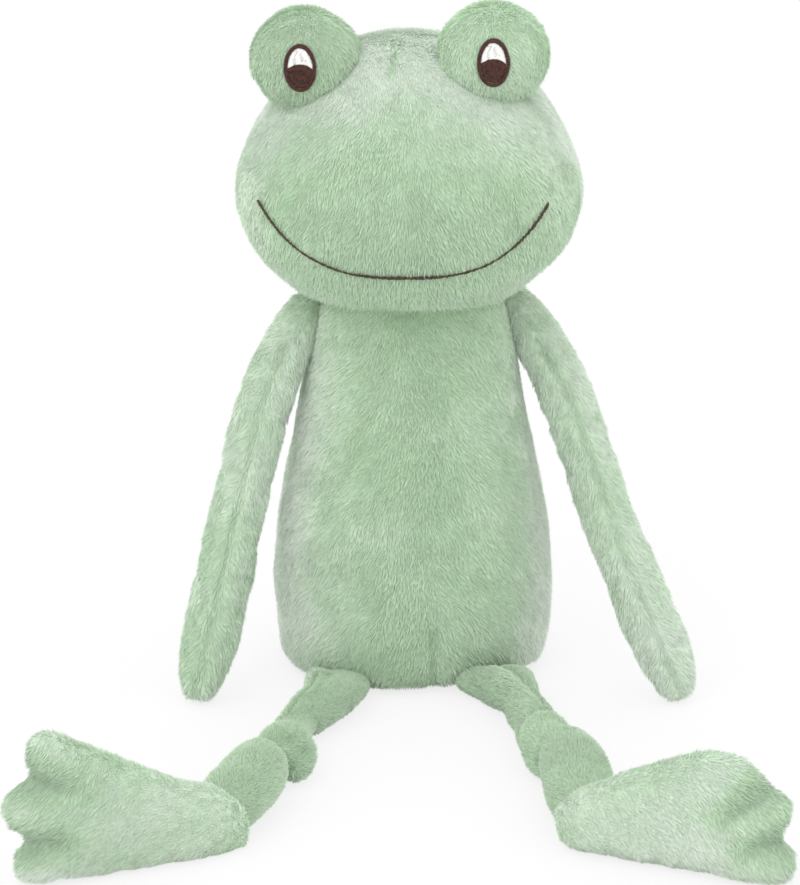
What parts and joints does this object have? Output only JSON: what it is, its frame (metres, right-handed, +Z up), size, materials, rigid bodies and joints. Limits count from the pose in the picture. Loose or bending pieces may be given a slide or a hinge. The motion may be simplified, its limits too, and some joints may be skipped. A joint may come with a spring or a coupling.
{
  "type": "plush frog",
  "caption": "Seated plush frog with long limp arms, legs tied in a knot above webbed feet, eye bulges and a stitched smile.",
  "frame": {"origin": "middle of the torso's flat seat, on the surface that the toy sits on", "axes": "-Y towards the front of the toy, +Z up, +X towards the toy's own left"},
  "size_m": [0.2193, 0.2193, 0.2173],
  "materials": {
    "green_plush": "short pile",
    "pale_plush": "short pile",
    "filling": "fibre",
    "pellet_bag": "plain weave",
    "brown_thread": "satin stitch",
    "white_thread": "satin stitch"
  },
  "bodies": {
    "torso": {"torso_cover": "green_plush", "torso_filling": "filling", "seat_pellet_bag": "pellet_bag"},
    "head": {"head_cover": "green_plush", "head_filling": "filling", "mouth_stitching": "brown_thread", "eye_bulge_cover_right": "green_plush", "eye_bulge_filling_right": "filling", "eye_dark_right": "brown_thread", "eye_white_right": "white_thread", "eye_bulge_cover_left": "green_plush", "eye_bulge_filling_left": "filling", "eye_dark_left": "brown_thread", "eye_white_left": "white_thread"},
    "arm_right": {"arm_cover_right": "green_plush", "arm_filling_right": "filling"},
    "leg_right": {"thigh_right": "green_plush", "knee_knot_right": "green_plush"},
    "shin_right": {"shin_right": "green_plush"},
    "foot_right": {"foot_cover_right": "pale_plush", "foot_filling_right": "filling"},
    "arm_left": {"arm_cover_left": "green_plush", "arm_filling_left": "filling"},
    "leg_left": {"thigh_left": "green_plush", "knee_knot_left": "green_plush"},
    "shin_left": {"shin_left": "green_plush"},
    "foot_left": {"foot_cover_left": "pale_plush", "foot_filling_left": "filling"}
  },
  "joints": [
    {"name": "neck_turn", "type": "hinge", "parent": "torso", "child": "head", "pos_m": [0, 0, 0.1243], "axis": [0, 0, 1], "range_deg": [-35, 35], "stiffness_Nm_per_rad": 0.05},
    {"name": "shoulder_right", "type": "hinge", "parent": "torso", "child": "arm_right", "pos_m": [-0.03317, -0.00466, 0.117], "axis": [0.9903, 0.1392, 0], "range_deg": [-65, 15]},
    {"name": "hip_right", "type": "hinge", "parent": "torso", "child": "leg_right", "pos_m": [-0.01954, -0.03625, 0.0052], "axis": [0.9521, -0.3058, 0], "range_deg": [-40, 90]},
    {"name": "knee_right", "type": "hinge", "parent": "leg_right", "child": "shin_right", "pos_m": [-0.04285, -0.11257, 0.00963], "axis": [-0.8914, 0.4532, 0], "range_deg": [-30, 30]},
    {"name": "ankle_right", "type": "hinge", "parent": "shin_right", "child": "foot_right", "pos_m": [-0.05725, -0.14089, 0.0086], "axis": [0, 0, 1], "range_deg": [-35, 15]},
    {"name": "shoulder_left", "type": "hinge", "parent": "torso", "child": "arm_left", "pos_m": [0.03317, 0.00466, 0.117], "axis": [0.9903, 0.1392, 0], "range_deg": [-65, 15]},
    {"name": "hip_left", "type": "hinge", "parent": "torso", "child": "leg_left", "pos_m": [0.02877, -0.02946, 0.0052], "axis": [0.8309, 0.5564, 0], "range_deg": [-40, 90]},
    {"name": "knee_left", "type": "hinge", "parent": "leg_left", "child": "shin_left", "pos_m": [0.04476, -0.11519, 0.00959], "axis": [-0.964, -0.2659, 0], "range_deg": [-30, 30]},
    {"name": "ankle_left", "type": "hinge", "parent": "shin_left", "child": "foot_left", "pos_m": [0.05185, -0.14089, 0.0086], "axis": [0, 0, 1], "range_deg": [-15, 35]}
  ]
}
